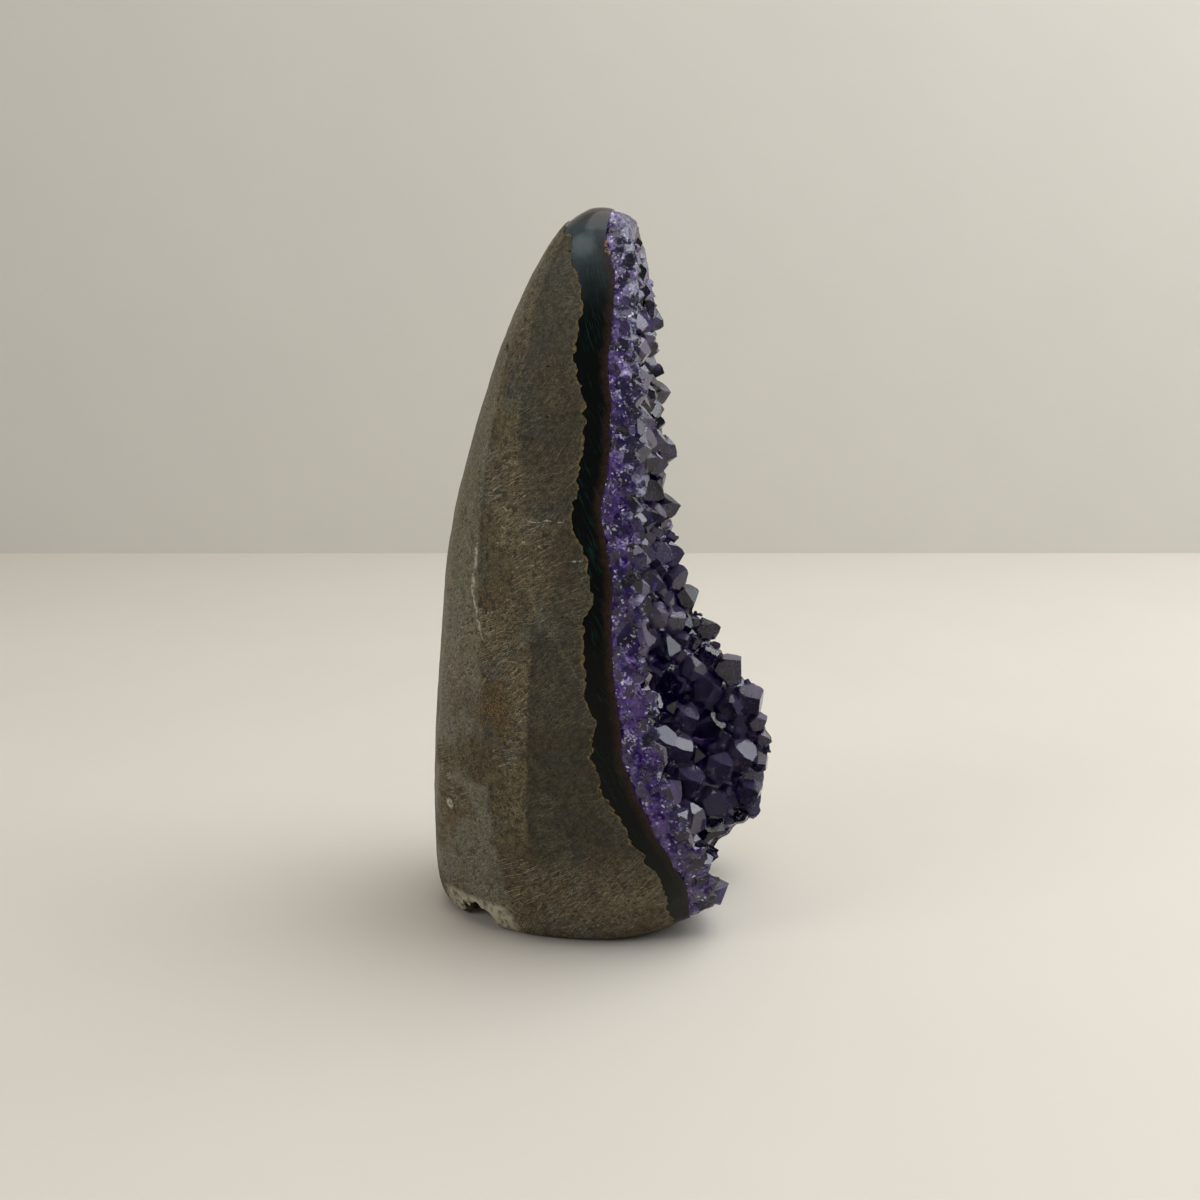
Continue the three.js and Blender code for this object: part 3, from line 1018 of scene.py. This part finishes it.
    # painted highlights: pale flecks over the broken chip, where its rough surface would glint
    chip_glints = m.times(chip, m.step(0.6, 0.7, fine))
    white = m.times(white, m.step(0.35, 0.6, m.noise(0.6)))
    pale = m.most(m.times(vein, 0.8), chip_glints, white, speck)
    m.paint(PALE, pale)
    # painted shade: the tiny gas holes are drawn black, as the shade inside them, and only bumped
    # in
    pinhole_shade = m.times(m.step(0.11, 0.05, m.cells(2.3)), m.step(0.45, 0.55, m.noise(6)))
    m.paint(BASALT_BLACK, pinhole_shade, 0.85)

    rise = m.plus(m.times(mottled, 0.5), m.times(fine, 0.35))
    rise = m.plus(rise, m.times(scratched, -0.25), m.times(pinhole_shade, -0.5))
    rise = m.plus(rise, m.times(m.most(vein, margin), m.times(fine, 0.5)))
    rough = m.mix(grey, m.mix(darker, 0.72, 0.6), 0.52)
    return m.finish(roughness=rough, normal=m.bump(rise, 0.22), specular_ior_level=0.3)


def agate_material():
    """Near-black agate, polished: green streaks, blue-grey smoke at the tip with a painted
    highlight on it, a brown band along the crystals."""
    m = Shader("agate", AGATE)
    skin = m.attribute("skin", "Vector")
    behind = m.attribute("behind")
    height = m.parts(skin)[1]

    bent = m.shifted(8, 1.2, skin)
    green = m.times(m.streaks(bent, -62, 4, 0.5, 0.5, 0.75, 4), m.step(0.4, 0.62, m.noise(9)))
    m.paint(AGATE_GREEN, green)
    milky = m.noise(4, m.shifted(5, 2), detail=5)
    smoke = m.step(101, 116, m.plus(height, m.times(milky, 8)))
    # painted highlight: a pale soft spot on the cap, where a lamp's reflection shows
    cap_highlight = m.spot(m.shifted(3, 1.6), CAP_HIGHLIGHT, 2.6, 2.8)
    cap = m.most(m.times(smoke, 0.45), m.times(cap_highlight, m.step(0.2, 0.6, milky)))
    # this colour is the blue-grey smoke and the painted highlight together
    m.paint(AGATE_SMOKE_AND_HIGHLIGHT, cap)
    m.paint(AGATE_TOP, m.step(111, 114, height))
    low = m.step(22, 12, height)
    m.paint(AGATE_LOW, low, m.mix(milky, 0.3, 1.0))

    fibres = m.noise(0.35, m.shifted(2, 0.5), detail=4, roughness=0.7)
    inner = m.plus(behind, m.times(m.noise(1.8, detail=5), 1.6))
    band = m.step(2.9, 1.5, m.plus(inner, m.times(fibres, 0.7)))
    brown = m.mix(m.step(0.35, 0.7, fibres), BAND_DARK, BAND)
    brown = m.mix(m.times(low, 0.6), brown, AGATE_LOW)
    band = m.times(band, m.step(111, 107, height))
    m.paint(brown, band, m.mix(m.noise(6), 0.4, 1.0))
    seam = m.step(1.3, 0.7, inner)
    m.paint(LILAC, seam, 0.15)
    m.paint(ROOTS, m.step(0.06, 0.03, behind))

    speckled = m.spot(m.shifted(0.8, 0.5, skin), skin_at(*PINK_PATCH), 1.1, 0.6)
    m.paint(PINK, speckled, m.step(0.45, 0.6, fibres))

    rough = m.mix(band, m.mix(cap, 0.14, 0.2), 0.42)
    normal = m.bump(m.plus(m.times(milky, 0.5), m.times(band, fibres)), 0.05)
    return m.finish(
        roughness=rough, normal=normal, specular_ior_level=0.12,
        coat_weight=m.times(cap, 0.8), coat_roughness=0.12,
    )


def amethyst_material():
    """Clear violet quartz, and its ground side: broken, full of white cracks near the root
    and violet under the points."""
    m = Shader("amethyst", LILAC)
    kept = ("cut", "root", "under", "seam", "grain", "inside")
    cut, root, under, seam, grain, inside_ground = (m.attribute(name) for name in kept)
    height = m.parts(m.place)[2]

    # Seen on the ground side, from the root out: lilac, deep violet zones, glassy ends.
    zones = m.plus(m.noise(5, detail=2), m.times(m.math("SUBTRACT", grain, 0.5), 0.5))
    pale_ends = m.most(m.step(84, 100, height), m.step(20, 10, height))
    violet = m.times(m.step(0.38, 0.5, zones), m.mix(pale_ends, 1.0, 0.6), m.step(0.2, 1.2, root))
    m.paint(VIOLET, violet)
    glassy = m.most(m.step(1.4, 0.2, under), m.times(m.step(3.4, 5, root), m.step(0.3, 0.6, grain)))
    m.paint(GLASSY, glassy, 0.75)
    clouds = m.noise(1.3, detail=5, roughness=0.6)
    root_clouds = m.times(m.step(3, 0.5, root), m.step(0.42, 0.6, clouds))
    cloudy = m.most(m.step(0.56, 0.7, clouds), root_clouds)
    m.paint(LAVENDER, cloudy, m.mix(pale_ends, 0.55, 0.7))
    gap = m.times(m.step(0.4, 0.05, seam), m.step(1.6, 3.4, root))
    m.paint(GAP, gap, 0.9)

    # Angular flakes, bright ones crowded near the root, and cracks through them.
    near_root = m.times(m.step(3.4, 0.3, root), m.step(0.35, 0.6, m.noise(2.4)))
    broken = m.shifted(0.9, 0.35)
    flakes = m.cells(0.34, broken, output="Color")
    lumps = m.cells(1.5, broken, output="Color")
    flake, tone, _ = m.parts(flakes)
    m.brighten(0.85, m.parts(lumps)[0])
    m.brighten(0.3, tone)
    cracks = m.step(0.05, 0.015, m.cells(1.3, m.shifted(0.6, 0.4), "DISTANCE_TO_EDGE"))
    cracks = m.times(cracks, m.step(0.54, 0.66, clouds))
    bright = m.plus(flake, m.times(near_root, 0.08))
    white = m.times(m.step(0.99, 1.0, bright), m.mix(tone, 0.2, 0.9))
    white = m.most(white, m.times(cracks, 0.5))
    m.paint(ICE, white)

    # The rims' crystals and those under the tip are milky, and all points a little.
    at_rims = m.times(m.step(3, 0.6, inside_ground), 0.6)
    at_points = m.times(m.step(2, 5.5, root), 0.28)
    milky = m.most(at_rims, m.step(86, 100, height), at_points)
    uneven = m.plus(m.times(grain, 0.6), m.times(clouds, 0.4))
    milky = m.times(milky, m.step(0.3, 0.65, uneven))
    clear = m.mix(m.times(grain, 0.2), CRYSTAL, ICE)
    clear = m.mix(milky, clear, m.mix(m.step(84, 98, height), VIOLET, LAVENDER))
    m.colour = m.mix(cut, clear, m.colour)
    etched = m.step(0.5, 0.75, m.noise(2.5, detail=4))
    rough = m.mix(cut, m.mix(etched, 0.02, 0.09), 0.12)
    see_through = m.mix(cut, m.mix(milky, 1.0, 0.68), m.mix(white, 0.3, 0.1))
    lean = m.mix(m.step(68, 88, height), 1.1, 0.6)
    faces = m.vector("ADD", m.tilts(lumps, lean), m.tilts(flakes, 0.35))
    normal = m.bump(m.noise(0.5, detail=3), 0.012)
    normal = m.vector("ADD", normal, m.vector("SCALE", faces, scale=cut))
    normal = m.vector("NORMALIZE", normal)
    inside = m.node("ShaderNodeVolumeAbsorption", {"Color": ABSORBED, "Density": ABSORPTION})
    m.tree.links.new(inside.outputs[0], m.output.inputs["Volume"])
    return m.finish(roughness=rough, transmission_weight=see_through, ior=1.544, normal=normal)


def plain_material(name, colour, roughness):
    m = Shader(name, colour)
    m.paint(tuple(0.94 * c for c in colour), m.noise(60, detail=5))
    return m.finish(roughness=roughness)


# ---- The studio ----


def flat_sheet(name, corners, material):
    mesh = bpy.data.meshes.new(name)
    mesh.from_pydata([tuple(corner) for corner in corners], [], [(0, 1, 2, 3)])
    mesh.materials.append(material)
    placed(name, mesh)


def soft_light(name, place, target, size, power, colour):
    """A square soft light."""
    light = bpy.data.lights.new(name, "AREA")
    light.shape = "RECTANGLE"
    light.size = light.size_y = size
    light.energy = power
    light.color = colour
    obj = placed(name, light)
    obj.location = place
    obj.rotation_euler = (target - place).to_track_quat("-Z", "Y").to_euler()


def studio(axis):
    """The floor, the backdrop, the lights and the camera, all from the camera's bearing."""
    away = Vector((math.cos(CAMERA_BEARING), math.sin(CAMERA_BEARING), 0))
    right = Vector((math.sin(CAMERA_BEARING), -math.cos(CAMERA_BEARING), 0))
    up = Vector((0, 0, 1))
    foot = axis * MM
    behind = foot + away * BACKDROP_DISTANCE
    side = right * STAGE_WIDTH / 2
    near = foot - away * STAGE_WIDTH / 2

    floor = plain_material("floor_finish", FLOOR, 0.55)
    flat_sheet("floor", (near - side, near + side, behind + side, behind - side), floor)
    wall = plain_material("backdrop_finish", BACKDROP, 0.8)
    tall = up * STAGE_WIDTH / 2
    left_edge, right_edge = behind - side, behind + side
    flat_sheet("backdrop", (left_edge, right_edge, right_edge + tall, left_edge + tall), wall)

    middle = foot + up * AIM
    on_backdrop = behind + right * 0.4 + up * 0.1
    for name, (to_right, back, height), target, *light in (
        ("key", (0.42, 0.15, 0.5), middle, 0.8, 5.6, (0.88, 0.94, 1)),
        ("overhead", (0.1, -0.05, 0.8), middle, 0.8, 3.4, (1, 0.965, 0.92)),
        ("wash", (0.6, 0, 0.5), on_backdrop, 0.4, 0.8, (1, 1, 1)),
        ("fill", (-0.5, -0.3, 0.35), middle, 0.25, 1, (1, 1, 1)),
    ):
        soft_light(name, foot + right * to_right + away * back + up * height, target, *light)

    world = bpy.data.worlds.new("studio")
    world.use_nodes = True
    background = world.node_tree.nodes["Background"]
    background.inputs["Color"].default_value = (*WORLD, 1)
    background.inputs["Strength"].default_value = WORLD_STRENGTH
    bpy.context.scene.world = world
    bpy.context.scene.view_settings.view_transform = "Standard"

    camera = bpy.data.cameras.new("camera")
    camera.lens = CAMERA_LENS
    camera.sensor_width = CAMERA_SENSOR
    camera.clip_start = CAMERA_CLIP
    obj = placed("camera", camera)
    obj.location = foot - away * CAMERA_DISTANCE + up * CAMERA_HEIGHT
    looking = away * math.cos(CAMERA_PITCH) - up * math.sin(CAMERA_PITCH)
    obj.rotation_euler = looking.to_track_quat("-Z", "Y").to_euler()
    bpy.context.scene.camera = obj


# ---- The whole ----


def build():
    basalt_look = basalt_material()
    agate_look = agate_material()
    amethyst_look = amethyst_material()

    outside = ground_outside(basalt_look)
    stone = Stone(outside)
    rock = Face("agate_rind", "basalt_matrix", 1)
    rock.shift(ROCK_EDGE)
    rock.roughen()
    wall = Face("agate_rind", "amethyst_crust", -1)
    wall.shift(WALL_EDGE)

    basalt = basalt_piece(outside, rock, stone, random.Random(SEED), basalt_look)
    points = points_of(basalt)
    keep(basalt, skin=stone.skin(points), depth=-rock.ahead(points))

    agate = agate_piece(outside, rock, wall, agate_look)
    agate.data.materials[0] = agate_look
    points = points_of(agate)
    keep(agate, skin=stone.skin(points), behind=-wall.ahead(points))

    grown = crystals(wall, stone.tree, random.Random(SEED))
    crust = crust_piece(outside, wall, stone, grown, amethyst_look)
    remove(outside)

    finished(basalt, "basalt_matrix", 35)
    finished(agate, "agate_rind", 35)
    finished(crust, "amethyst_crust")
    studio(stone.axis)


build()
